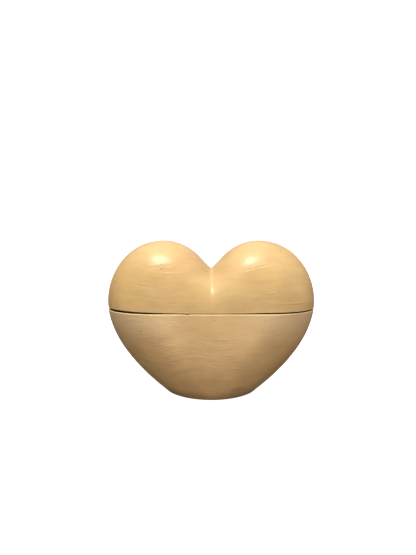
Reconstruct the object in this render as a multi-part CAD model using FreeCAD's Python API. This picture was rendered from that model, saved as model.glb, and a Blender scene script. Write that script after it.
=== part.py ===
import FreeCAD, Part
import math
import os

# A heart-shaped trinket box that stands on its cut-off tip. All sizes are in millimetres.
# X runs across the two lobes, -Y is the front, +Z is up, and the origin is the centre of the foot's underside.

# The outside of the heart
HALF_WIDTH = 55.0
WIDEST_HEIGHT = 49.2
SEAM_HEIGHT = 45.4
HEIGHT = 81.5
HALF_DEPTH = 33.1
FOOT_HALF_WIDTH = 22.7
FOOT_HALF_DEPTH = 21.9

# How its curves bulge: powers of 2 give ellipses, higher ones give squarer shoulders
FLANK_POWER = 1.96
BOWL_POWER = 2.68
CROWN_POWER = 2.84
OUTER_POWER = 2.17
INNER_POWER = 2.8
FOOT_END_POWER = 0.65

# The two lobes and the crease between them
LOBE_X = 25.7
LOBE_INNER_RADIUS = 28.4
CLEFT_HEIGHT = 67.7
VALLEY_AT_CLEFT = 1.1
VALLEY_POWER = 0.865
VALLEY_RISE = 6.0
VALLEY_BLEND = 0.08
CREASE_SOFTNESS = 0.8
CREASE_FADE = 0.25

# Walls, the lid's locating flange and its fit in the mouth of the base
BASE_WALL = 3.6
FLOOR_HEIGHT = 5.5
FLOOR_CORNER_RADIUS = 5.0
FLANGE_CLEARANCE = 0.6
FLANGE_THICKNESS = 2.9
FLANGE_DEPTH = 4.5
LID_CROWN_WALL = 4.6
LID_CLEFT_LOWERED = 5.8
RIM_ROUNDING = 0.5

# The felt pad in its recess under the foot
PAD_THICKNESS = 1.0
PAD_MARGIN = 3.0
PAD_CLEARANCE = 0.25

# How finely the formulas are followed
SECTION_POINTS = 56
BASE_LEVELS = 15
LOBE_STEPS = 13
FLANK_STEPS = 4
RAY_STEPS = 16
FAN_SPREAD = 0.7
HALVINGS = 30
OVERRUN = 3.0
SLOPE_STEP = 0.01
SMALL = 1e-6
LONGEST_STRAIGHT = 0.95


class Heart:
    """The heart's shape. An inset one, for a hollow, is smaller by its wall and has a lower cleft."""

    def __init__(self, side_wall=0.0, crown_wall=0.0, cleft_lowered=0.0):
        self.half_width = HALF_WIDTH - side_wall
        self.foot_half_width = FOOT_HALF_WIDTH - side_wall
        self.half_depth = HALF_DEPTH - side_wall
        self.foot_half_depth = FOOT_HALF_DEPTH - side_wall
        self.inner_radius = LOBE_INNER_RADIUS - side_wall
        self.height = HEIGHT - crown_wall
        self.cleft_height = CLEFT_HEIGHT - cleft_lowered

    def lobe_part(self, z):
        """How much of its full radius a lobe still has at height z."""
        above = max(0.0, z - WIDEST_HEIGHT) / (self.height - WIDEST_HEIGHT)
        return math.sqrt(max(0.0, 1 - above**2))

    def side(self, z):
        """The half width at height z: a curved flank below the widest line and a round lobe above it."""
        if z > WIDEST_HEIGHT:
            return LOBE_X + (self.half_width - LOBE_X) * self.lobe_part(z)
        below = (WIDEST_HEIGHT - z) / WIDEST_HEIGHT
        return self.half_width - (self.half_width - self.foot_half_width) * below**FLANK_POWER

    def middle_depth(self, z):
        """The half depth at the middle of a lobe at height z."""
        if z > SEAM_HEIGHT:
            up = min(1.0, (z - SEAM_HEIGHT) / (self.height - SEAM_HEIGHT))
            return self.half_depth * power_arc(up, CROWN_POWER)
        down = (SEAM_HEIGHT - z) / SEAM_HEIGHT
        foot_part = self.foot_half_depth / self.half_depth
        return self.half_depth * math.sqrt(1 - down**BOWL_POWER * (1 - foot_part**2))

    def base_section(self, z):
        """Half width, half depth, half length of the straight front, and the end's two powers, at height z."""
        up = min(1.0, z / SEAM_HEIGHT)
        across_power = 2 + (OUTER_POWER - 2) * up
        end_power = FOOT_END_POWER + (1 / OUTER_POWER - FOOT_END_POWER) * up
        return self.side(z), self.middle_depth(z), LOBE_X * up, across_power, end_power

    def bend(self, z):
        """How far the surface has turned in at the crease: 0 at the seam, over 1 where the cleft is open."""
        up = (z - SEAM_HEIGHT) / (self.cleft_height - SEAM_HEIGHT)
        valley = VALLEY_AT_CLEFT * up**VALLEY_POWER * math.exp(VALLEY_RISE * max(0.0, up - 1) ** 2)
        lobes = LOBE_X / (self.inner_radius * max(self.lobe_part(z), SMALL))
        return max(0.0, (valley + lobes - math.hypot(valley - lobes, VALLEY_BLEND)) / 2)

    def softness(self, z):
        """The crease's own radius at height z, which fades to nothing at the seam."""
        up = (z - SEAM_HEIGHT) / (self.cleft_height - SEAM_HEIGHT)
        return CREASE_SOFTNESS * math.sqrt(min(1.0, up / CREASE_FADE))

    def depth(self, x, z):
        """The half depth anywhere, at x across and z up."""
        if z <= SEAM_HEIGHT:
            return section_depth(abs(x), *self.base_section(z))
        soft = self.softness(z)
        across = math.hypot(x, soft)
        if across < LOBE_X:
            part = self.bend(z) * (LOBE_X - across) / LOBE_X
            return self.middle_depth(z) * power_arc(part, INNER_POWER)
        part = (across - LOBE_X) / (math.hypot(self.side(z), soft) - LOBE_X)
        return self.middle_depth(z) * power_arc(part, OUTER_POWER)

    def top_height(self, x):
        """The outline's height at x across, between the middles of the lobes, found by halving."""
        part = 1 - math.hypot(x, CREASE_SOFTNESS) / LOBE_X
        low = WIDEST_HEIGHT
        high = self.height
        for _ in range(HALVINGS):
            z = (low + high) / 2
            if self.bend(z) * part < 1:
                low = z
            else:
                high = z
        return high

    def half_outline(self, bottom):
        """The front outline's points, from the cleft over one lobe and down to the bottom height."""
        points = []
        for i in range(LOBE_STEPS):
            x = LOBE_X * (i / LOBE_STEPS) ** 1.4
            points.append((x, self.top_height(x)))
        for i in range(LOBE_STEPS + 1):
            angle = math.pi / 2 * i / LOBE_STEPS
            x = LOBE_X + (self.half_width - LOBE_X) * math.sin(angle)
            points.append((x, WIDEST_HEIGHT + (self.height - WIDEST_HEIGHT) * math.cos(angle)))
        for i in range(1, FLANK_STEPS + 1):
            z = WIDEST_HEIGHT + (bottom - WIDEST_HEIGHT) * i / FLANK_STEPS
            points.append((self.side(z), z))
        return points


def power_arc(part, power):
    """How deep a rounded curve still is at part of its way to its end, 1 at the start and 0 at the end."""
    return (1 - min(1.0, max(0.0, part)) ** power) ** (1 / power)


def section_depth(across, half_width, half_depth, straight, across_power, end_power):
    """The half depth of a level section: straight in the middle, with a rounded end."""
    part = min(1.0, max(0.0, (across - straight) / (half_width - straight)))
    return half_depth * (1 - part**across_power) ** end_power


def section_wire(z, half_width, half_depth, straight, across_power, end_power):
    """A closed smooth outline of a level section."""
    shorter = min(straight, LONGEST_STRAIGHT * half_width)
    points = []
    for i in range(SECTION_POINTS):
        angle = 2 * math.pi * (i + 0.5) / SECTION_POINTS
        x = half_width * math.sin(angle)
        y = section_depth(abs(x), half_width, half_depth, shorter, across_power, end_power)
        points.append(FreeCAD.Vector(x, math.copysign(y, -math.cos(angle)), z))
    curve = Part.BSplineCurve()
    curve.interpolate(Points=points, PeriodicFlag=True)
    return Part.Wire([curve.toShape()])


def levels(low, high, count):
    """Heights from low to high, closer together near both ends."""
    return [low + (high - low) * (1 - math.cos(math.pi * i / (count - 1))) / 2 for i in range(count)]


def loft(low, high, count, wire_at):
    """A solid through the sections that wire_at gives between two heights."""
    return Part.makeLoft([wire_at(z) for z in levels(low, high, count)], True, False)


def slope_factor(function, z):
    """How much further a wall reaches sideways where the surface leans."""
    slope = (function(z) - function(z - SLOPE_STEP)) / SLOPE_STEP
    return math.sqrt(1 + slope**2)


def inset_wire(heart, z, wall, extra=0.0):
    """The section at height z of a surface that lies one wall inside the heart, and extra further in."""
    half_width, half_depth, *shape = heart.base_section(z)
    half_width -= wall * slope_factor(heart.side, z) + extra
    half_depth -= wall * slope_factor(heart.middle_depth, z) + extra
    return section_wire(z, half_width, half_depth, *shape)


def ray_wire(heart, bottom, start_x, tip_x, tip_z):
    """A closed line from the floor at the front, over the outline's tip, to the floor at the back, and home."""
    front = []
    for i in range(RAY_STEPS):
        reach = math.sin(math.pi / 2 * i / RAY_STEPS)
        x = start_x + (tip_x - start_x) * reach
        z = bottom + (tip_z - bottom) * reach
        front.append(FreeCAD.Vector(x, -heart.depth(x, z), z))
    back = [FreeCAD.Vector(p.x, -p.y, p.z) for p in reversed(front)]
    curve = Part.BSplineCurve()
    curve.interpolate(front + [FreeCAD.Vector(tip_x, 0, tip_z)] + back)
    return Part.Wire([curve.toShape(), Part.LineSegment(back[-1], front[0]).toShape()])


def lid_block(heart, bottom):
    """A solid of the heart from the bottom height up, through lines that fan out to its outline."""
    right = heart.half_outline(bottom)
    tips = [(-x, z) for x, z in reversed(right[1:])] + right
    along = [0.0]
    for (x, z), (next_x, next_z) in zip(tips, tips[1:]):
        along.append(along[-1] + math.hypot(next_x - x, next_z - z))
    wires = []
    for (x, z), length in zip(tips, along):
        start_x = FAN_SPREAD * tips[-1][0] * (2 * length / along[-1] - 1)
        wires.append(ray_wire(heart, bottom, start_x, x, z))
    return Part.makeLoft(wires, True, False)


def slab(low, high):
    """A block wider than the heart between two heights."""
    side = 3 * HALF_WIDTH
    corner = FreeCAD.Vector(-side / 2, -side / 2, low)
    return Part.makeBox(side, side, high - low, corner)


def round_outer_edges(solid, z, radius):
    """Rounds the outermost edges in the level plane at height z."""
    rim = [e for e in solid.Edges if abs(e.BoundBox.ZMin - z) < 0.01 and abs(e.BoundBox.ZMax - z) < 0.01]
    reach = max(e.BoundBox.XMax for e in rim)
    outer = [e for e in rim if e.BoundBox.XMax > reach - 1 or e.BoundBox.XMin < 1 - reach]
    return solid.makeFillet(radius, outer)


def foot_wire(heart, z, margin):
    """The foot's outline, drawn in by a margin."""
    half_width, half_depth, *shape = heart.base_section(0.0)
    return section_wire(z, half_width - margin, half_depth - margin, *shape)


def foot_block(heart, height, margin):
    """A flat piece of the foot's outline, standing on the ground."""
    face = Part.Face(foot_wire(heart, 0.0, margin))
    return face.extrude(FreeCAD.Vector(0, 0, height))


def make_base(outer):
    """The bowl, with its hollow and the pad's recess."""

    def hollow_wire(z):
        above = min(FLOOR_CORNER_RADIUS, z - FLOOR_HEIGHT)
        corner = FLOOR_CORNER_RADIUS - math.sqrt(
            FLOOR_CORNER_RADIUS**2 - (FLOOR_CORNER_RADIUS - above) ** 2
        )
        return inset_wire(outer, z, BASE_WALL, corner)

    bowl = loft(0.0, SEAM_HEIGHT, BASE_LEVELS, lambda z: section_wire(z, *outer.base_section(z)))
    bowl = round_outer_edges(bowl, SEAM_HEIGHT, RIM_ROUNDING)
    hollow = loft(FLOOR_HEIGHT, SEAM_HEIGHT + 1, 2 * BASE_LEVELS, hollow_wire)
    return bowl.cut(hollow).cut(foot_block(outer, PAD_THICKNESS, PAD_MARGIN))


def make_lid(outer):
    """The two-lobed lid, with its hollow and the flange that drops into the base."""
    wall = BASE_WALL + FLANGE_CLEARANCE + FLANGE_THICKNESS
    hollow = lid_block(Heart(wall, LID_CROWN_WALL, LID_CLEFT_LOWERED), SEAM_HEIGHT - FLANGE_DEPTH - OVERRUN)
    dome = lid_block(outer, SEAM_HEIGHT - OVERRUN).common(slab(SEAM_HEIGHT, HEIGHT + OVERRUN))
    dome = round_outer_edges(dome, SEAM_HEIGHT, RIM_ROUNDING)

    def flange_wire(z):
        return inset_wire(outer, z, BASE_WALL, FLANGE_CLEARANCE)

    flange = loft(SEAM_HEIGHT - FLANGE_DEPTH, SEAM_HEIGHT + 1, 5, flange_wire)
    return dome.fuse(flange).cut(hollow)


def make_foot_pad(outer):
    """The felt pad, flush with the foot."""
    return foot_block(outer, PAD_THICKNESS, PAD_MARGIN + PAD_CLEARANCE)


def main():
    os.makedirs("parts", exist_ok=True)
    outer = Heart()
    pieces = {
        "base": make_base(outer),
        "lid": make_lid(outer),
        "foot_pad": make_foot_pad(outer),
    }
    for name, shape in pieces.items():
        solid = shape.Solids[0]
        print(name, len(shape.Solids), solid.isValid(), round(solid.Volume), solid.BoundBox)
        solid.exportStep("parts/" + name + ".step")


main()
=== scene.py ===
"""A heart-shaped trinket box: a painted bowl, a two-lobed lid that lifts off, and a felt pad under it."""
import math

import bmesh
import bpy
import numpy as np
from mathutils import Euler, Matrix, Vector


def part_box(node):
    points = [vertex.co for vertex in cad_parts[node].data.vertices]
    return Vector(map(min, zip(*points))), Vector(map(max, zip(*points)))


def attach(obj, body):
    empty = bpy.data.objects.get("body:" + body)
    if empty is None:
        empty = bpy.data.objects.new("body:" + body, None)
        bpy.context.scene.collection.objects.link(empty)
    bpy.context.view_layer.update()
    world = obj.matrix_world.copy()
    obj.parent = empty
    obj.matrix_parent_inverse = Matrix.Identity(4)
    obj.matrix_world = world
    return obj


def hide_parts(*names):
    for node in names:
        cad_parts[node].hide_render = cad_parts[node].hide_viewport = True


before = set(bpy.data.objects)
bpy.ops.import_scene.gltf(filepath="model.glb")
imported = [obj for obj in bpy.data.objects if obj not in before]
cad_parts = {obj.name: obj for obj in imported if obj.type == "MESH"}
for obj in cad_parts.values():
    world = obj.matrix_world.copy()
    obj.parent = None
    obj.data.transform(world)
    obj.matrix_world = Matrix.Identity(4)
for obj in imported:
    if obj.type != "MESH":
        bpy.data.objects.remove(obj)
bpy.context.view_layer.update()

MM = 0.001

# ---------------------------------------------------------------------------------------------
# Driving sizes, in millimetres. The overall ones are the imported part's own.
# ---------------------------------------------------------------------------------------------
HALF_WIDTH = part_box("lid")[1].x / MM
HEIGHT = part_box("lid")[1].z / MM
SEAM_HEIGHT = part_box("base")[1].z / MM
HALF_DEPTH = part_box("base")[1].y / MM
FLANGE_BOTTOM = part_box("lid")[0].z / MM
PAD_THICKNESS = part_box("foot_pad")[1].z / MM
PAD_HALF_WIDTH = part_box("foot_pad")[1].x / MM

# The heart's outside, the same as in the CAD
WIDEST_HEIGHT = 49.2
FOOT_HALF_WIDTH = 22.7
FOOT_HALF_DEPTH = 21.9
FLANK_POWER = 1.96
BOWL_POWER = 2.68
CROWN_POWER = 2.84
OUTER_POWER = 2.17
INNER_POWER = 2.8
FOOT_END_POWER = 0.65
LOBE_X = 25.7
LOBE_INNER_RADIUS = 28.4
CLEFT_HEIGHT = 67.7
VALLEY_AT_CLEFT = 1.1
VALLEY_POWER = 0.865
VALLEY_RISE = 6.0
VALLEY_BLEND = 0.08
CREASE_SOFTNESS = 0.8
CREASE_FADE = 0.25
LONGEST_STRAIGHT = 0.95
SLOPE_STEP = 0.01
SMALL = 1e-6

# Walls, flange, rounded edges, and the recess for the pad
BASE_WALL = 3.6
FLANGE_CLEARANCE = 0.6
FLANGE_THICKNESS = 2.9
FLOOR_HEIGHT = 5.5
FLOOR_CORNER_RADIUS = 5.0
LID_WALL = BASE_WALL + FLANGE_CLEARANCE + FLANGE_THICKNESS
LID_CROWN_WALL = 4.6
LID_CLEFT_LOWERED = 5.8
RIM_RADIUS = 0.45
FOOT_EDGE_RADIUS = 0.8
FOOT_BEVEL = 0.15
SMALL_RADIUS = 0.4
WALL_START = 1.0
FLANGE_START = 0.3
PAD_MARGIN = 3.0
PAD_SOFT_EDGE = 0.3

# The floor and backdrop, the lamp and the camera: places and sizes in metres, the lamp's power in watts,
# the lens in millimetres, and the camera's tilt in degrees from looking straight down
SURROUNDINGS_RADIUS = 2.5
LAMP_PLACE = (-0.22, -0.47, 1.45)
LAMP_TARGET = (0, 0, 0.06)
LAMP_SIZE = 0.40
LAMP_POWER = 16.2
LAMP_COLOUR = (0.95, 1.0, 0.84)
CAMERA_PLACE = (-0.00166, -0.3490, 0.08300)
CAMERA_LENS = 42.16
CAMERA_TILT = 90 - 3.53

# Broad soft lights: the direction each shines from, and its strength. They fade as the cosine of the
# angle from that direction, to the power LIGHT_FOCUS
LIGHT_FOCUS = 4.0
SOFT_LIGHTS = (
    ((0, 0, 1), 1.22),
    ((0, -1, 0), 1.195),
    ((-1, -0.3, 0), 0.47),
    ((-1, -0.3, 1.7), 0.90),
    ((1, -0.3, 0.6), 1.35),
    ((0, 1, 0.6), 0.63),
)

# How finely the meshes are divided. A lid grid's two numbers are its steps along the inner half of
# a lobe's outline, and its steps over the top from front to back
AROUND = 384
OUTSIDE_STEPS = (58, 184)
HOLLOW_STEPS = (24, 72)
FLANK_STEPS = 5
FAN_SPREAD = 0.7
CLEFT_CROWDING = 1.25
HEIGHTS_TRIED = 4000
BOWL_RINGS = 78
HOLLOW_RINGS = 40
FLOOR_CROWDING = 1.3
FOOT_EDGE_STEPS = 8
RIM_STEPS = 6
SMALL_STEPS = 3
PAD_EDGE_STEPS = 6
RIM_PARTS = (0.25, 0.5, 0.7)
UNDERSIDE_PARTS = (0.25, 0.6, 1.0)
FLAT_PARTS = (0.02, 0.3, 0.6, 0.9)
PAD_FLAT_PARTS = (0.02, 0.35, 0.7)

# How far the lid's rim stands off the bowl: in the middle, and more to the left and to the right,
# between two distances from the middle. The lid is whole again at GAP_FADE above the seam
GAP_MIDDLE = 0.16
GAP_LEFT = 1.05
GAP_LEFT_FROM, GAP_LEFT_TO = 5, 52
GAP_RIGHT = 0.60
GAP_RIGHT_FROM, GAP_RIGHT_TO = 6, 30
GAP_FADE = 8.0

# The hand finish, in millimetres
BLUR = 0.2
STROKE_HEIGHT = 0.05
STROKE_DARKNESS = 1.4
STROKE_SHIFT = 40
RIDGE_SPACING = 2.4
UNEVENNESS = 0.05
WAVES = 9
SHORTEST_WAVE, LONGEST_WAVE = 9, 34
PIT_SPREAD = 1.4

# Single brush strokes on the front: x and z of one end, x and z of the other, how far it bows up,
# and half its width
STROKES = (
    (-32, 68.5, -19, 70.5, 0.4, 1.4),
    (-24, 65.3, -12, 65.1, 0.2, 1.0),
    (-22, 53.2, -6, 53.6, 0.8, 0.9),
    (-36, 60.0, -30, 60.2, 0.0, 1.0),
    (16, 65.6, 32, 69.0, 0.3, 1.3),
    (19, 67.8, 29, 70.6, 0.2, 1.0),
    (26, 55.6, 32, 55.8, 0.0, 1.0),
    (46, 57.0, 47.5, 64.5, 0.5, 1.4),
    (30, 50.4, 50, 50.2, 0.2, 1.0),
    (-10, 34.5, 17.5, 30.7, -0.3, 1.1),
    (8, 18.0, 16.5, 17.8, 0.0, 0.8),
    (-43, 42.1, -31, 42.0, 0.3, 1.3),
    (-35, 27.4, -27.5, 27.8, 0.0, 0.9),
    (-26, 29.6, -18, 29.8, 0.2, 0.9),
    (-22, 44.0, -11, 33.0, 0.5, 1.3),
    (26, 39.0, 34, 31.0, 2.0, 0.8),
    (-16, 24.0, 4, 22.5, 0.5, 1.0),
    (-4, 12.5, 12, 12.0, -0.3, 1.0),
)

# Pinholes and nicks in the front: x, z, radius and depth
PITS = (
    (-24.5, 67.1, 0.45, 0.16),
    (-24.0, 76.6, 0.35, 0.10),
    (-2.3, 65.6, 0.60, 0.16),
    (-35.1, 36.4, 0.45, 0.12),
    (1.6, 42.4, 0.35, 0.08),
    (26.0, 41.9, 0.35, 0.08),
    (23.9, 80.4, 0.30, 0.08),
    (-12.0, 45.3, 0.60, 0.25),
)

# Colours of the paint and the felt, as linear light
CARAMEL_DARK = (0.622, 0.364, 0.149, 1)
CARAMEL_LIGHT = (0.696, 0.412, 0.171, 1)
THIN_PAINT = (0.74, 0.49, 0.23, 1)
THICK_PAINT = (0.53, 0.31, 0.12, 1)
LINE_LIGHT = (0.74, 0.50, 0.25, 1)
LINE_DARK = (0.45, 0.27, 0.11, 1)
LID_TINT = (0.928, 0.948, 0.865, 1)
PALE_PAINT = (0.76, 0.52, 0.28, 1)
# Painted shade beside the crease
CREASE_PAINTED_SHADE = (0.46, 0.30, 0.12, 1)
# Painted shade round the foot
FOOT_PAINTED_SHADE = (0.38, 0.205, 0.080, 1)
SMEAR = (0.36, 0.20, 0.08, 1)
# Painted highlight along the edge of the bowl's rim
RIM_PAINTED_HIGHLIGHT = (0.95, 0.80, 0.40, 1)
# Darker paint in the pinholes and nicks
PIT_DARK = (0.17, 0.10, 0.05, 1)
# Painted shade on the faces where the lid and bowl meet
JOINT_PAINTED_SHADE = (0.085, 0.052, 0.030, 1)
FELT_DARK = (0.055, 0.035, 0.022, 1)
FELT_LIGHT = (0.14, 0.095, 0.06, 1)
FELT_CLUMP = (0.07, 0.05, 0.035, 1)


# ---------------------------------------------------------------------------------------------
# The heart's shape, on arrays of points
# ---------------------------------------------------------------------------------------------
class Heart:
    """The heart's shape. An inset one, for a hollow, is smaller by its wall and has a lower cleft."""

    def __init__(self, side_wall=0.0, crown_wall=0.0, cleft_lowered=0.0):
        self.half_width = HALF_WIDTH - side_wall
        self.foot_half_width = FOOT_HALF_WIDTH - side_wall
        self.half_depth = HALF_DEPTH - side_wall
        self.foot_half_depth = FOOT_HALF_DEPTH - side_wall
        self.inner_radius = LOBE_INNER_RADIUS - side_wall
        self.height = HEIGHT - crown_wall
        self.cleft_height = CLEFT_HEIGHT - cleft_lowered

    def lobe_part(self, z):
        """How much of its full radius a lobe still has at height z."""
        above = np.clip((z - WIDEST_HEIGHT) / (self.height - WIDEST_HEIGHT), 0, 1)
        return np.sqrt(1 - above**2)

    def side(self, z):
        """The half width at height z."""
        below = np.clip((WIDEST_HEIGHT - z) / WIDEST_HEIGHT, 0, 1)
        flank = self.half_width - (self.half_width - self.foot_half_width) * below**FLANK_POWER
        lobe = LOBE_X + (self.half_width - LOBE_X) * self.lobe_part(z)
        return np.where(z > WIDEST_HEIGHT, lobe, flank)

    def middle_depth(self, z):
        """The half depth at the middle of a lobe at height z."""
        up = np.clip((z - SEAM_HEIGHT) / (self.height - SEAM_HEIGHT), 0, 1)
        down = np.clip((SEAM_HEIGHT - z) / SEAM_HEIGHT, 0, 1)
        foot_part = self.foot_half_depth / self.half_depth
        bowl = np.sqrt(1 - down**BOWL_POWER * (1 - foot_part**2))
        return self.half_depth * np.where(z > SEAM_HEIGHT, power_arc(up, CROWN_POWER), bowl)

    def base_section(self, z):
        """A level section: half width, half depth, half the straight front, and the end's two powers."""
        up = np.clip(z / SEAM_HEIGHT, 0, 1)
        across_power = 2 + (OUTER_POWER - 2) * up
        end_power = FOOT_END_POWER + (1 / OUTER_POWER - FOOT_END_POWER) * up
        return self.side(z), self.middle_depth(z), LOBE_X * up, across_power, end_power

    def bend(self, z):
        """How far the surface has turned in at the crease: 0 at the seam, over 1 where the cleft is open."""
        up = np.clip((z - SEAM_HEIGHT) / (self.cleft_height - SEAM_HEIGHT), 0, None)
        valley = VALLEY_AT_CLEFT * up**VALLEY_POWER * np.exp(VALLEY_RISE * np.clip(up - 1, 0, None) ** 2)
        lobes = LOBE_X / (self.inner_radius * np.maximum(self.lobe_part(z), SMALL))
        return np.maximum(0, (valley + lobes - np.hypot(valley - lobes, VALLEY_BLEND)) / 2)

    def depth(self, x, z):
        """The half depth anywhere on the lid, at x across and z up."""
        up = np.clip((z - SEAM_HEIGHT) / (self.cleft_height - SEAM_HEIGHT), 0, None)
        soft = CREASE_SOFTNESS * np.sqrt(np.clip(up / CREASE_FADE, 0, 1))
        across = np.hypot(x, soft)
        inner = power_arc(self.bend(z) * (LOBE_X - across) / LOBE_X, INNER_POWER)
        outer = power_arc((across - LOBE_X) / (np.hypot(self.side(z), soft) - LOBE_X), OUTER_POWER)
        return self.middle_depth(z) * np.where(across < LOBE_X, inner, outer)

    def front(self, x, z):
        """The half depth at one place, on the bowl as well as on the lid."""
        if z > SEAM_HEIGHT:
            return float(self.depth(np.array(x), np.array(z)))
        return float(section_depth(abs(x), *self.base_section(z)))

    def top_height(self, x):
        """The height of the outline at x across, between the middles of the lobes."""
        heights = np.linspace(WIDEST_HEIGHT, self.height, HEIGHTS_TRIED)
        part = 1 - np.hypot(x, CREASE_SOFTNESS) / LOBE_X
        return np.interp(1 / np.maximum(part, SMALL), self.bend(heights), heights)

    def outline(self, bottom, lobe_steps):
        """The front outline, from the left end of the bottom line over both lobes to its right end."""
        x = LOBE_X * (np.arange(lobe_steps) / lobe_steps) ** CLEFT_CROWDING
        inner = np.stack([x, self.top_height(x)], 1)
        angle = np.linspace(math.pi / 2, 0, 2 * lobe_steps)
        lobe_x = LOBE_X + (self.half_width - LOBE_X) * np.cos(angle)
        lobe_z = WIDEST_HEIGHT + (self.height - WIDEST_HEIGHT) * np.sin(angle)
        z = np.linspace(WIDEST_HEIGHT, bottom, FLANK_STEPS + 1)[1:]
        flank = np.stack([self.side(z), z], 1)
        right = np.concatenate([inner, np.stack([lobe_x, lobe_z], 1), flank])
        left = right[:0:-1] * np.array([-1, 1])
        return np.concatenate([left, right])


def power_arc(part, power):
    """How deep a rounded curve still is at part of its way to its end, 1 at the start and 0 at the end."""
    return (1 - np.clip(part, 0, 1) ** power) ** (1 / power)


def section_depth(across, half_width, half_depth, straight, across_power, end_power):
    """The half depth of a level section: straight in the middle, with a rounded end."""
    part = np.clip((across - straight) / (half_width - straight), 0, 1)
    return half_depth * (1 - part**across_power) ** end_power


def section_ring(z, section, inset=0.0):
    """A closed level ring of AROUND points at height z, drawn in by an inset."""
    half_width, half_depth, straight, *powers = section
    half_width = half_width - inset
    half_depth = half_depth - inset
    straight = min(straight, LONGEST_STRAIGHT * half_width)
    angle = 2 * np.pi * (np.arange(AROUND) + 0.5) / AROUND
    x = half_width * np.sin(angle)
    depth = section_depth(np.abs(x), half_width, half_depth, straight, *powers)
    y = -np.sign(np.cos(angle)) * depth
    return np.stack([x, y, np.full(AROUND, z)], 1)


def smooth(value, low, high):
    """A smooth step from 0 at low to 1 at high."""
    part = np.clip((value - low) / (high - low), 0, 1)
    return part**2 * (3 - 2 * part)


def rim_gap(x):
    """How far the lid's rim stands off the bowl at x across."""
    left = (GAP_LEFT - GAP_MIDDLE) * smooth(-x, GAP_LEFT_FROM, GAP_LEFT_TO)
    right = (GAP_RIGHT - GAP_MIDDLE) * smooth(x, GAP_RIGHT_FROM, GAP_RIGHT_TO)
    return GAP_MIDDLE + left + right


def stroke_field(x, z):
    """For the strongest brush stroke at each place: how far across it and along it, and its strength.

    Each stroke fades in and out at its ends, and over its half width to the sides.
    """
    across = np.zeros_like(x)
    along = np.zeros_like(x)
    strength = np.zeros_like(x)
    for number, (x0, z0, x1, z1, bow, width) in enumerate(STROKES):
        length = math.hypot(x1 - x0, z1 - z0)
        dx = (x1 - x0) / length
        dz = (z1 - z0) / length
        part = ((x - x0) * dx + (z - z0) * dz) / length
        off = (z - z0) * dx - (x - x0) * dz - bow * 4 * part * (1 - part)
        ends = smooth(part, -0.1, 0.2) * (1 - smooth(part, 0.8, 1.1))
        here = ends * (1 - smooth(np.abs(off), 0.3 * width, 1.3 * width))
        stronger = here > strength
        across = np.where(stronger, off, across)
        along = np.where(stronger, part * length + STROKE_SHIFT * number, along)
        strength = np.maximum(strength, here)
    return across, along, strength


def pit_places():
    """Where each pinhole lies on the front, with its radius and depth."""
    outer = Heart()
    return [((x, -outer.front(x, z), z), radius, depth) for x, z, radius, depth in PITS]


def surface_relief(points, seed):
    """How far the hand-finished surface lies from the formula's, never outside it, in millimetres."""
    random = np.random.default_rng(seed)
    waves = np.zeros(len(points))
    for _ in range(WAVES):
        direction = random.normal(size=3)
        direction *= 2 * math.pi / random.uniform(SHORTEST_WAVE, LONGEST_WAVE) / np.linalg.norm(direction)
        waves += np.sin(points @ direction + random.uniform(0, 2 * math.pi))
    across, _, strength = stroke_field(points[:, 0], points[:, 2])
    ridges = STROKE_HEIGHT * strength * np.cos(2 * math.pi * across / RIDGE_SPACING)
    relief = ridges - UNEVENNESS * (1 + waves / WAVES)
    for place, radius, depth in pit_places():
        away = np.linalg.norm(points - place, axis=1) / (PIT_SPREAD * radius)
        relief -= depth * np.exp(-(away**2))
    return np.minimum(relief, 0)


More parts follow.
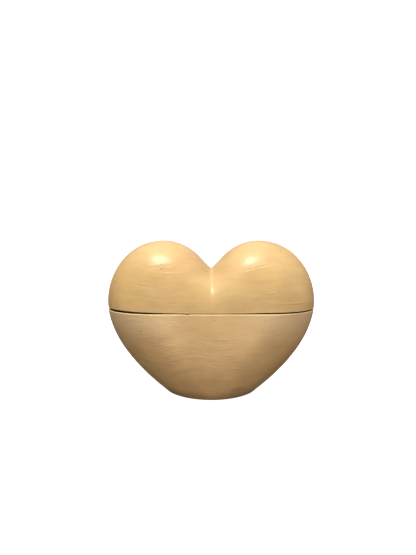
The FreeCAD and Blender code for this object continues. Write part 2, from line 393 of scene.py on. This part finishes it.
# ---------------------------------------------------------------------------------------------
# Mesh building
# ---------------------------------------------------------------------------------------------
class Skin:
    """A closed mesh made of rings and patches, in millimetres."""

    def __init__(self):
        self.points = []
        self.faces = []
        self.outside = []
        self.joint = []

    def add(self, points, outside=False, joint=0.0):
        """Adds points and returns their numbers. Outside ones get the hand finish, joint ones get painted
        shade.
        """
        start = len(self.points)
        self.points.extend(map(tuple, points))
        self.outside.extend([outside] * len(points))
        self.joint.extend([joint] * len(points))
        return np.arange(start, start + len(points))

    def bridge(self, ring, next_ring):
        """Joins two rings of the same length with quads."""
        for i in range(len(ring)):
            j = (i + 1) % len(ring)
            self.faces.append((ring[i], ring[j], next_ring[j], next_ring[i]))

    def zip(self, ring, other):
        """Joins two rings of different lengths with triangles."""
        ring_along = self.fractions(ring)
        other_along = self.fractions(other)
        i = 0
        j = 0
        while i < len(ring) or j < len(other):
            a = ring[i % len(ring)]
            b = other[j % len(other)]
            if ring_along[i + 1] <= other_along[j + 1]:
                i += 1
                self.faces.append((a, ring[i % len(ring)], b))
            else:
                j += 1
                self.faces.append((a, other[j % len(other)], b))

    def fractions(self, ring):
        """Each point's part of the way round its ring, and a last one past the end."""
        places = np.array([self.points[number] for number in ring])
        steps = np.linalg.norm(np.roll(places, -1, 0) - places, axis=1)
        return np.concatenate([[0], np.cumsum(steps) / steps.sum(), [2]])

    def cap(self, ring, point):
        """Closes a ring with triangles to one point."""
        centre = self.add([point])[0]
        for i in range(len(ring)):
            self.faces.append((ring[i], ring[(i + 1) % len(ring)], centre))

    def rings(self, rings, outside=False, joint=0.0):
        """Adds rings in order, joined one to the next, and returns the first and last one's numbers."""
        numbers = [self.add(ring, outside, joint) for ring in rings]
        for ring, next_ring in zip(numbers, numbers[1:]):
            self.bridge(ring, next_ring)
        return numbers[0], numbers[-1]

    def patch(self, grid, outside=False):
        """Adds a grid of points as quads and returns its border ring's numbers."""
        rows, columns = grid.shape[:2]
        numbers = self.add(grid.reshape(-1, 3), outside).reshape(rows, columns)
        for a, b in zip(numbers, numbers[1:]):
            for i in range(columns - 1):
                self.faces.append((a[i], b[i], b[i + 1], a[i + 1]))
        front = numbers[:, 0]
        right = numbers[-1, 1:-1]
        back = numbers[::-1, -1]
        left = numbers[0, -2:0:-1]
        return np.concatenate([front, right, back, left])

    def build(self, name, material):
        """Makes the Blender object, in metres, with smooth faces."""
        mesh = bpy.data.meshes.new(name)
        mesh.from_pydata([(x * MM, y * MM, z * MM) for x, y, z in self.points], [], self.faces)
        mesh.update()
        bm = bmesh.new()
        bm.from_mesh(mesh)
        bmesh.ops.recalc_face_normals(bm, faces=bm.faces)
        bm.to_mesh(mesh)
        bm.free()
        self.finish(mesh)
        for face in mesh.polygons:
            face.use_smooth = True
        mesh.materials.append(material)
        made = bpy.data.objects.new(name, mesh)
        bpy.context.scene.collection.objects.link(made)
        return made

    def finish(self, mesh):
        """Gives the outside points the hand finish, along their normals."""
        mesh.attributes.new("joint", "FLOAT", "POINT").data.foreach_set("value", self.joint)
        outside = np.array(self.outside)
        if not outside.any():
            return
        places = np.zeros(3 * len(mesh.vertices), np.float32)
        normals = np.zeros(3 * len(mesh.vertices), np.float32)
        mesh.vertices.foreach_get("co", places)
        mesh.vertex_normals.foreach_get("vector", normals)
        places = places.reshape(-1, 3)
        relief = surface_relief(places[outside].astype(float) / MM, len(outside))
        strokes = np.zeros((len(places), 3), np.float32)
        strokes[outside] = np.stack(stroke_field(places[outside, 0] / MM, places[outside, 2] / MM), 1)
        mesh.attributes.new("stroke", "FLOAT_VECTOR", "POINT").data.foreach_set("vector", strokes.ravel())
        places[outside] += normals.reshape(-1, 3)[outside] * (relief * MM)[:, None].astype(np.float32)
        mesh.vertices.foreach_set("co", places.ravel())
        mesh.update()


def quarter(radius, steps):
    """Pairs of (inset, rise) along a quarter round, from a wall to the flat at its end."""
    angles = np.linspace(0, np.pi / 2, steps + 1)
    return [(radius * (1 - math.cos(a)), radius * math.sin(a)) for a in angles]


def fan_grid(heart, bottom, lobe_steps, over_steps):
    """Points of the heart from the bottom height up, on rays that fan from the bottom to the outline."""
    tips = heart.outline(bottom, lobe_steps)
    steps = np.linalg.norm(np.diff(tips, axis=0), axis=1)
    along = np.concatenate([[0], np.cumsum(steps)])
    starts = (2 * along / along[-1] - 1) * FAN_SPREAD * tips[-1, 0]
    angle = np.linspace(-np.pi / 2, np.pi / 2, over_steps + 1)
    reach = np.cos(angle)[None, :]
    x = starts[:, None] + (tips[:, :1] - starts[:, None]) * reach
    z = bottom + (tips[:, 1:] - bottom) * reach
    y = heart.depth(x, z) * np.sign(angle)[None, :]
    y[:, over_steps // 2] = 0
    return np.stack([x, y, z], 2)


def inward(ring):
    """The unit level directions that point into a closed ring, which runs anticlockwise seen from above."""
    along = np.roll(ring, -1, 0) - np.roll(ring, 1, 0)
    sideways = np.stack([-along[:, 1], along[:, 0], np.zeros(len(ring))], 1)
    return sideways / np.linalg.norm(sideways, axis=1)[:, None]


def inset_ring(edge, inset, z):
    """A ring drawn in from a lid's edge by an inset, and laid level at height z."""
    ring = edge + inward(edge) * inset
    ring[:, 2] = z
    return ring


def slope_factor(function, z):
    """How much further a wall reaches sideways where the surface leans."""
    return math.hypot(1, float(function(z) - function(z - SLOPE_STEP)) / SLOPE_STEP)


def bowl_under(outer):
    """The bowl's recess for the pad and its foot, out to where the outside begins."""
    foot = outer.base_section(0.0)
    recess = section_ring(PAD_THICKNESS, foot, PAD_MARGIN)
    rings = [recess * (part, part, 1) for part in (*FLAT_PARTS, 1.0)]
    rings.append(section_ring(FOOT_BEVEL, foot, PAD_MARGIN))
    for inset in np.linspace(PAD_MARGIN - FOOT_BEVEL, FOOT_EDGE_RADIUS, 3):
        rings.append(section_ring(0.0, foot, inset))
    for inset, rise in quarter(FOOT_EDGE_RADIUS, FOOT_EDGE_STEPS)[-2::-1]:
        z = FOOT_EDGE_RADIUS - rise
        rings.append(section_ring(z, outer.base_section(z), inset))
    return rings


def bowl_outside(outer):
    """The bowl's painted outside and the round over its rim."""
    rings = []
    for z in np.linspace(FOOT_EDGE_RADIUS, SEAM_HEIGHT - RIM_RADIUS, BOWL_RINGS)[1:-1]:
        rings.append(section_ring(z, outer.base_section(z)))
    for inset, rise in quarter(RIM_RADIUS, RIM_STEPS):
        z = SEAM_HEIGHT - RIM_RADIUS + rise
        rings.append(section_ring(z, outer.base_section(z), inset))
    return rings


def bowl_inside(outer):
    """The bowl's inside, from its rim down the wall and over the floor."""
    rim = outer.base_section(SEAM_HEIGHT)
    rings = []
    for inset, rise in quarter(SMALL_RADIUS, SMALL_STEPS)[::-1]:
        rings.append(section_ring(SEAM_HEIGHT - SMALL_RADIUS + rise, rim, BASE_WALL - inset))
    for part in np.linspace(1, 0, HOLLOW_RINGS) ** FLOOR_CROWDING:
        z = FLOOR_HEIGHT + (SEAM_HEIGHT - WALL_START - FLOOR_HEIGHT) * part
        half_width, half_depth, *shape = outer.base_section(z)
        below_round = max(0, FLOOR_CORNER_RADIUS - (z - FLOOR_HEIGHT))
        corner = FLOOR_CORNER_RADIUS - math.sqrt(FLOOR_CORNER_RADIUS**2 - below_round**2)
        half_width = half_width - BASE_WALL * slope_factor(outer.side, z)
        half_depth = half_depth - BASE_WALL * slope_factor(outer.middle_depth, z)
        rings.append(section_ring(z, (half_width, half_depth, *shape), corner))
    floor = rings[-1]
    rings += [floor * (part, part, 1) for part in reversed(FLAT_PARTS)]
    return rings


def make_base(outer, material):
    """The bowl, with its flat rim, whose top carries painted shade."""
    skin = Skin()
    section = outer.base_section(SEAM_HEIGHT)
    top = [section_ring(SEAM_HEIGHT, section, part * BASE_WALL) for part in RIM_PARTS]
    recess, foot = skin.rings(bowl_under(outer))
    low, high = skin.rings(bowl_outside(outer), outside=True)
    # the rim's flat top carries painted shade
    rim, rim_end = skin.rings(top, joint=1.0)
    mouth, floor = skin.rings(bowl_inside(outer))
    skin.bridge(foot, low)
    skin.bridge(high, rim)
    skin.bridge(rim_end, mouth)
    skin.cap(recess, (0, 0, PAD_THICKNESS))
    skin.cap(floor, (0, 0, FLOOR_HEIGHT))
    return skin.build("base_bowl", material)


def flange_rings(outer, edge):
    """The lid's level underside, and its flange down to the rounded lower edge."""
    flange_inset = BASE_WALL + FLANGE_CLEARANCE
    rim_side = outer.side(SEAM_HEIGHT)
    rings = [inset_ring(edge, part * flange_inset, SEAM_HEIGHT) for part in UNDERSIDE_PARTS]
    for z in np.linspace(SEAM_HEIGHT - FLANGE_START, FLANGE_BOTTOM + SMALL_RADIUS, 5):
        rings.append(inset_ring(edge, flange_inset + float(rim_side - outer.side(z)), z))
    last_inset = flange_inset + float(rim_side - outer.side(FLANGE_BOTTOM))
    for inset, rise in quarter(SMALL_RADIUS, SMALL_STEPS)[1:]:
        rings.append(inset_ring(edge, last_inset + inset, FLANGE_BOTTOM + SMALL_RADIUS - rise))
    return rings


def stand_off(points):
    """The lid's points with its rim standing off the bowl, by less and less above and below the rim."""
    places = np.array(points)
    above = 1 - smooth(places[:, 2], SEAM_HEIGHT, SEAM_HEIGHT + GAP_FADE)
    below = smooth(places[:, 2], FLANGE_BOTTOM, SEAM_HEIGHT - BLUR)
    places[:, 2] += rim_gap(places[:, 0]) * above * below
    return places.tolist()


def make_lid(outer, inner, material):
    """The two-lobed lid with its rounded rim, the flange that drops into the bowl, and its hollow."""
    skin = Skin()
    border = skin.patch(fan_grid(outer, SEAM_HEIGHT + RIM_RADIUS, *OUTSIDE_STEPS), outside=True)
    edge = np.array(skin.points)[border]
    rim = []
    for inset, rise in quarter(RIM_RADIUS, RIM_STEPS)[1:]:
        rim.append(inset_ring(edge, inset, SEAM_HEIGHT + RIM_RADIUS - rise))
    rim_start, rim_end = skin.rings(rim)
    # the lid's underside and flange carry painted shade
    flange_start, flange_end = skin.rings(flange_rings(outer, edge), joint=1.0)
    skin.bridge(border, rim_start)
    skin.bridge(rim_end, flange_start)

    hollow = skin.patch(fan_grid(inner, FLANGE_BOTTOM + SMALL_RADIUS, *HOLLOW_STEPS))
    mouth = np.array(skin.points)[hollow]
    lip = []
    for inset, rise in quarter(SMALL_RADIUS, SMALL_STEPS)[1:]:
        lip.append(inset_ring(mouth, -inset, FLANGE_BOTTOM + SMALL_RADIUS - rise))
    lip_start, lip_end = skin.rings(lip)
    skin.bridge(hollow, lip_start)
    skin.zip(flange_end, lip_end)
    skin.points = stand_off(skin.points)
    return skin.build("lid_dome", material)


def make_pad(outer, material):
    """The felt pad, with soft edges, lying in its recess."""
    foot = outer.base_section(0.0)
    margin = FOOT_HALF_WIDTH - PAD_HALF_WIDTH
    half = PAD_THICKNESS / 2
    bottom = section_ring(0.0, foot, margin + PAD_SOFT_EDGE)
    rings = [bottom * (part, part, 1) for part in PAD_FLAT_PARTS]
    for step in range(PAD_EDGE_STEPS + 1):
        angle = math.pi * step / PAD_EDGE_STEPS
        inset = margin + PAD_SOFT_EDGE * (1 - math.sin(angle))
        rings.append(section_ring(half - half * math.cos(angle), foot, inset))
    top = rings[-1]
    rings += [top * (part, part, 1) for part in reversed(PAD_FLAT_PARTS)]
    skin = Skin()
    first, last = skin.rings(rings)
    skin.cap(first, (0, 0, 0))
    skin.cap(last, (0, 0, PAD_THICKNESS))
    return skin.build("foot_felt", material)


# ---------------------------------------------------------------------------------------------
# Materials
# ---------------------------------------------------------------------------------------------
class Nodes:
    """A short way to write a material's node tree."""

    def __init__(self, name):
        self.material = bpy.data.materials.new(name)
        self.material.use_nodes = True
        self.tree = self.material.node_tree
        self.tree.nodes.clear()
        self.shader = self.tree.nodes.new("ShaderNodeBsdfPrincipled")
        output = self.tree.nodes.new("ShaderNodeOutputMaterial")
        self.tree.links.new(self.shader.outputs["BSDF"], output.inputs["Surface"])
        coordinates = self.tree.nodes.new("ShaderNodeTexCoord")
        self.place = self.vector("SCALE", coordinates.outputs["Object"], scale=1 / MM)

    def set(self, socket, value):
        """Links a socket, or sets it to a plain value."""
        if hasattr(value, "is_output"):
            self.tree.links.new(value, socket)
        else:
            socket.default_value = value

    def vector(self, operation, a, b=None, scale=None):
        """One vector operation, which gives a number for a distance and a vector otherwise."""
        made = self.tree.nodes.new("ShaderNodeVectorMath")
        made.operation = operation
        self.set(made.inputs[0], a)
        if b is not None:
            self.set(made.inputs[1], b)
        if scale is not None:
            self.set(made.inputs["Scale"], scale)
        return made.outputs["Value" if operation == "DISTANCE" else "Vector"]

    def math(self, operation, *values):
        """One operation on plain numbers."""
        made = self.tree.nodes.new("ShaderNodeMath")
        made.operation = operation
        for socket, value in zip(made.inputs, values):
            self.set(socket, value)
        return made.outputs[0]

    def product(self, first, *others):
        """All the values multiplied together."""
        for other in others:
            first = self.math("MULTIPLY", first, other)
        return first

    def split(self, vector):
        """The three numbers of a vector."""
        made = self.tree.nodes.new("ShaderNodeSeparateXYZ")
        self.set(made.inputs[0], vector)
        return made.outputs

    def join(self, x, y, z):
        """A vector of three numbers."""
        made = self.tree.nodes.new("ShaderNodeCombineXYZ")
        for socket, value in zip(made.inputs, (x, y, z)):
            self.set(socket, value)
        return made.outputs[0]

    def stored(self, name, output):
        """A value stored on the mesh's points."""
        made = self.tree.nodes.new("ShaderNodeAttribute")
        made.attribute_name = name
        return made.outputs[output]

    def noise(self, vector, scale, detail=2.0, roughness=0.5, distortion=0.0):
        """Smooth noise, with its scale per millimetre."""
        made = self.tree.nodes.new("ShaderNodeTexNoise")
        self.set(made.inputs["Vector"], vector)
        made.inputs["Scale"].default_value = scale
        made.inputs["Detail"].default_value = detail
        made.inputs["Roughness"].default_value = roughness
        made.inputs["Distortion"].default_value = distortion
        return made.outputs["Fac"]

    def streaks(self, places, stretch, *settings):
        """Noise with its three directions stretched each by its own factor, so that it makes streaks."""
        stretched = [self.math("MULTIPLY", place, factor) for place, factor in zip(places, stretch)]
        return self.noise(self.join(*stretched), *settings)

    def fade(self, value, low, high, to_low=0.0, to_high=1.0):
        """A smooth change from to_low where the value is low, to to_high where it is high."""
        made = self.tree.nodes.new("ShaderNodeMapRange")
        made.interpolation_type = "SMOOTHSTEP"
        for socket, number in zip(made.inputs, (value, low, high, to_low, to_high)):
            self.set(socket, number)
        return made.outputs[0]

    def mix(self, part, a, b, blend="MIX"):
        """Colour a, changed to colour b by a part."""
        made = self.tree.nodes.new("ShaderNodeMix")
        made.data_type = "RGBA"
        made.blend_type = blend
        self.set(made.inputs[0], part)
        self.set(made.inputs[6], a)
        self.set(made.inputs[7], b)
        return made.outputs[2]

    def bump(self, height, distance, normal=None):
        """Fine relief, on top of the relief in normal."""
        made = self.tree.nodes.new("ShaderNodeBump")
        made.inputs["Distance"].default_value = distance
        self.set(made.inputs["Height"], height)
        if normal is not None:
            self.set(made.inputs["Normal"], normal)
        return made.outputs[0]


def stroke_lines(n):
    """The fine lines that the bristles left in each single stroke."""
    across, along, strength = n.split(n.stored("stroke", "Vector"))[:3]
    lines = n.noise(n.join(n.math("MULTIPLY", along, 0.05), 0.0, across), 1.5, 2.0, 0.6)
    return n.product(strength, STROKE_DARKNESS, n.math("SUBTRACT", lines, 0.5))


def bristle_lines(n, places):
    """The bristle lines all over, strongest on the left of the bowl and where the paint is patchy."""
    x, _, z = n.split(n.place)[:3]
    bristles = n.streaks(places, (0.09, 0.06, 1.0), 1.2, 3.0, 0.6)
    patches = n.fade(n.noise(n.place, 0.055, 2.0), 0.46, 0.66)
    lines = n.product(n.math("SUBTRACT", bristles, 0.5), n.math("MULTIPLY_ADD", patches, 0.8, 0.2))
    on_bowl = n.fade(x, 10.0, 28.0, 1.55, 1.0)
    lines = n.product(lines, n.fade(z, SEAM_HEIGHT, SEAM_HEIGHT + BLUR, on_bowl, 1.0))
    return n.math("ADD", lines, stroke_lines(n))


def pit_mask(n):
    """How far into a pinhole or nick of the front each place lies: 0 outside it, 1 near its middle."""
    total = 0.0
    for place, radius, _ in pit_places():
        away = n.vector("DISTANCE", n.place, place)
        total = n.math("MAXIMUM", total, n.fade(away, radius, 0.4 * radius))
    return total


def smear_and_painted_light_layers(n, mottle):
    """Layers of colour on the paint: for each, where it lies, its strength and its colour.

    The shoulders of the bowl are paler, painted shade darkens the paint beside the crease and round the
    foot, a dark smear lies low on the front, and a painted highlight runs along the edge of the bowl's rim.
    """
    x, y, z = n.split(n.place)[:3]
    off_middle = n.math("ABSOLUTE", x)
    on_bowl = n.fade(z, SEAM_HEIGHT + BLUR, SEAM_HEIGHT + BLUR / 2)
    shoulders = n.product(n.fade(z, 27.0, 41.0), on_bowl, n.fade(off_middle, 8.0, 36.0))
    beside = n.math("ABSOLUTE", n.math("SUBTRACT", x, 0.4))
    # painted shade beside the crease, where the lobes meet
    crease = n.product(n.fade(beside, 14.0, 2.5), n.fade(beside, 0.35, 1.1), n.fade(z, 47.0, 55.0))
    # painted shade round the foot, darker towards the bottom, its upper edge made uneven by the mottle
    foot = n.fade(n.math("MULTIPLY_ADD", mottle, 3.0, z), 8.0, 1.5)
    smear = n.vector("DISTANCE", n.join(n.math("MULTIPLY", x, 0.35), 0.0, z), (5.0, 0.0, 5.6))
    smear = n.product(n.fade(smear, 2.2, 0.4), n.math("LESS_THAN", y, 0.0))
    # painted highlight along the edge of the bowl's rim, weaker towards the sides
    rim = n.product(n.fade(z, SEAM_HEIGHT - 0.6, SEAM_HEIGHT - BLUR), on_bowl)
    rim = n.product(rim, n.fade(off_middle, 46.0, 28.0, 0.4, 1.0))
    return (
        (shoulders, 0.60, PALE_PAINT),
        (crease, 0.30, CREASE_PAINTED_SHADE),
        (foot, 0.85, FOOT_PAINTED_SHADE),
        (smear, 0.45, SMEAR),
        (rim, 0.85, RIM_PAINTED_HIGHLIGHT),
    )


def painted(name):
    """Satin paint put on with a stiff brush: bristle lines, thin and thick patches, pale shoulders, a smear,
    painted shade, a painted highlight, and pinholes.
    """
    n = Nodes(name)
    x, y, z = n.split(n.place)[:3]
    wavy_height = n.math("MULTIPLY_ADD", n.noise(n.place, 0.03, 1.0), 14.0, z)
    places = (x, y, wavy_height)
    sweeps = n.streaks(places, (0.09, 0.06, 0.3), 1.0, 2.0, 0.5)
    clouds = n.streaks(places, (0.04, 0.06, 0.16), 1.0, 3.0, 0.6)
    mottle = n.noise(n.place, 0.07, 3.0, 0.55)
    lines = bristle_lines(n, places)
    pits = pit_mask(n)

    tone = n.mix(n.fade(mottle, 0.3, 0.7), CARAMEL_DARK, CARAMEL_LIGHT)
    tone = n.mix(n.fade(clouds, 0.52, 0.68, 0.0, 0.30), tone, THIN_PAINT)
    tone = n.mix(n.fade(clouds, 0.48, 0.34, 0.0, 0.30), tone, THICK_PAINT)
    tone = n.mix(n.fade(lines, 0.0, 0.35, 0.0, 0.35), tone, LINE_LIGHT)
    tone = n.mix(n.fade(lines, 0.0, -0.35, 0.0, 0.35), tone, LINE_DARK)
    tone = n.mix(n.fade(z, SEAM_HEIGHT, SEAM_HEIGHT + BLUR), tone, LID_TINT, "MULTIPLY")
    for where, strength, colour in smear_and_painted_light_layers(n, mottle):
        tone = n.mix(n.math("MULTIPLY", where, strength), tone, colour)
    # the pinholes and nicks are painted darker
    tone = n.mix(n.math("MULTIPLY", pits, 0.6), tone, PIT_DARK)
    # painted shade on the faces where the lid and bowl meet
    tone = n.mix(n.stored("joint", "Fac"), tone, JOINT_PAINTED_SHADE)
    n.set(n.shader.inputs["Base Color"], tone)

    n.set(n.shader.inputs["Roughness"], n.fade(sweeps, 0.3, 0.7, 0.33, 0.42))
    n.shader.inputs["Specular IOR Level"].default_value = 0.5
    n.shader.inputs["Coat Weight"].default_value = 0.24
    n.shader.inputs["Coat Roughness"].default_value = 0.34
    relief = n.bump(lines, 0.00012)
    relief = n.bump(sweeps, 0.00012, relief)
    relief = n.bump(n.math("SUBTRACT", 1.0, pits), 0.0002, relief)
    n.set(n.shader.inputs["Normal"], relief)
    return n.material


def felt(name):
    """Dark brown felt: short fibres in every direction, and a soft sheen."""
    n = Nodes(name)
    fibres = n.noise(n.place, 3.5, 4.0, 0.7, 1.5)
    clumps = n.noise(n.place, 0.5, 2.0)
    tone = n.mix(fibres, FELT_DARK, FELT_LIGHT)
    tone = n.mix(n.math("MULTIPLY", clumps, 0.4), tone, FELT_CLUMP)
    n.set(n.shader.inputs["Base Color"], tone)
    n.shader.inputs["Roughness"].default_value = 0.95
    n.shader.inputs["Sheen Weight"].default_value = 0.4
    n.set(n.shader.inputs["Normal"], n.bump(fibres, 0.0002))
    return n.material


def plain_white(name):
    """The plain white of the floor and the backdrop."""
    n = Nodes(name)
    n.shader.inputs["Base Color"].default_value = (0.5, 0.5, 0.5, 1)
    n.shader.inputs["Roughness"].default_value = 1.0
    n.shader.inputs["Emission Color"].default_value = (1, 1, 1, 1)
    n.shader.inputs["Emission Strength"].default_value = 0.97
    return n.material


# ---------------------------------------------------------------------------------------------
# The scene: pieces, floor, light and camera
# ---------------------------------------------------------------------------------------------
def make_pieces():
    """The three pieces, each riding on its CAD body and standing for its CAD node."""
    outer = Heart()
    inner = Heart(LID_WALL, LID_CROWN_WALL, LID_CLEFT_LOWERED)
    paint = painted("caramel_paint")
    base = make_base(outer, paint)
    lid = make_lid(outer, inner, paint)
    pad = make_pad(outer, felt("brown_felt"))
    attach(base, "bowl")
    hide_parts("base")
    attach(lid, "cover")
    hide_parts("lid")
    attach(pad, "bowl")
    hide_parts("foot_pad")


def make_surroundings():
    """A plain round floor and a plain dome round it, which only the camera sees."""
    white = plain_white("plain_white")
    for name, kind in (("floor", "disc"), ("backdrop", "dome")):
        mesh = bpy.data.meshes.new(name)
        bm = bmesh.new()
        if kind == "disc":
            bmesh.ops.create_circle(bm, cap_ends=True, radius=SURROUNDINGS_RADIUS, segments=64)
        else:
            bmesh.ops.create_uvsphere(bm, u_segments=64, v_segments=32, radius=SURROUNDINGS_RADIUS)
        bm.to_mesh(mesh)
        bm.free()
        mesh.materials.append(white)
        made = bpy.data.objects.new(name, mesh)
        bpy.context.scene.collection.objects.link(made)
        for ray in ("visible_diffuse", "visible_glossy", "visible_transmission", "visible_shadow"):
            setattr(made, ray, False)


def make_world():
    """Soft studio light: broad bright patches above, in front, behind and at both sides."""
    world = bpy.data.worlds.new("studio")
    world.use_nodes = True
    tree = world.node_tree
    background = tree.nodes["Background"]
    coordinates = tree.nodes.new("ShaderNodeTexCoord")
    total = None
    for direction, strength in SOFT_LIGHTS:
        toward = tree.nodes.new("ShaderNodeVectorMath")
        toward.operation = "DOT_PRODUCT"
        tree.links.new(coordinates.outputs["Generated"], toward.inputs[0])
        toward.inputs[1].default_value = Vector(direction).normalized()
        value = toward.outputs["Value"]
        for operation, number in (("MAXIMUM", 0.0), ("POWER", LIGHT_FOCUS), ("MULTIPLY", strength)):
            step = tree.nodes.new("ShaderNodeMath")
            step.operation = operation
            tree.links.new(value, step.inputs[0])
            step.inputs[1].default_value = number
            value = step.outputs[0]
        if total is None:
            total = value
            continue
        adder = tree.nodes.new("ShaderNodeMath")
        tree.links.new(total, adder.inputs[0])
        tree.links.new(value, adder.inputs[1])
        total = adder.outputs[0]
    tree.links.new(total, background.inputs["Color"])
    bpy.context.scene.world = world


def make_lamp():
    """One soft lamp, nearly overhead, a little to the front and left."""
    lamp = bpy.data.lights.new("overhead", "AREA")
    lamp.shape = "DISK"
    lamp.size = LAMP_SIZE
    lamp.energy = LAMP_POWER
    lamp.color = LAMP_COLOUR
    holder = bpy.data.objects.new("overhead", lamp)
    holder.location = LAMP_PLACE
    aim = Vector(LAMP_TARGET) - Vector(LAMP_PLACE)
    holder.rotation_euler = aim.to_track_quat("-Z", "Y").to_euler()
    bpy.context.scene.collection.objects.link(holder)


def make_camera():
    """A close camera, a little above the lid and looking slightly down."""
    camera = bpy.data.cameras.new("camera")
    camera.sensor_width = 36.0
    camera.lens = CAMERA_LENS
    camera.clip_start = 0.01
    camera.clip_end = 100.0
    holder = bpy.data.objects.new("camera", camera)
    holder.location = CAMERA_PLACE
    holder.rotation_euler = Euler((math.radians(CAMERA_TILT), 0, 0))
    bpy.context.scene.collection.objects.link(holder)
    bpy.context.scene.camera = holder


make_pieces()
make_surroundings()
make_world()
make_lamp()
make_camera()
bpy.context.scene.view_settings.view_transform = "Standard"
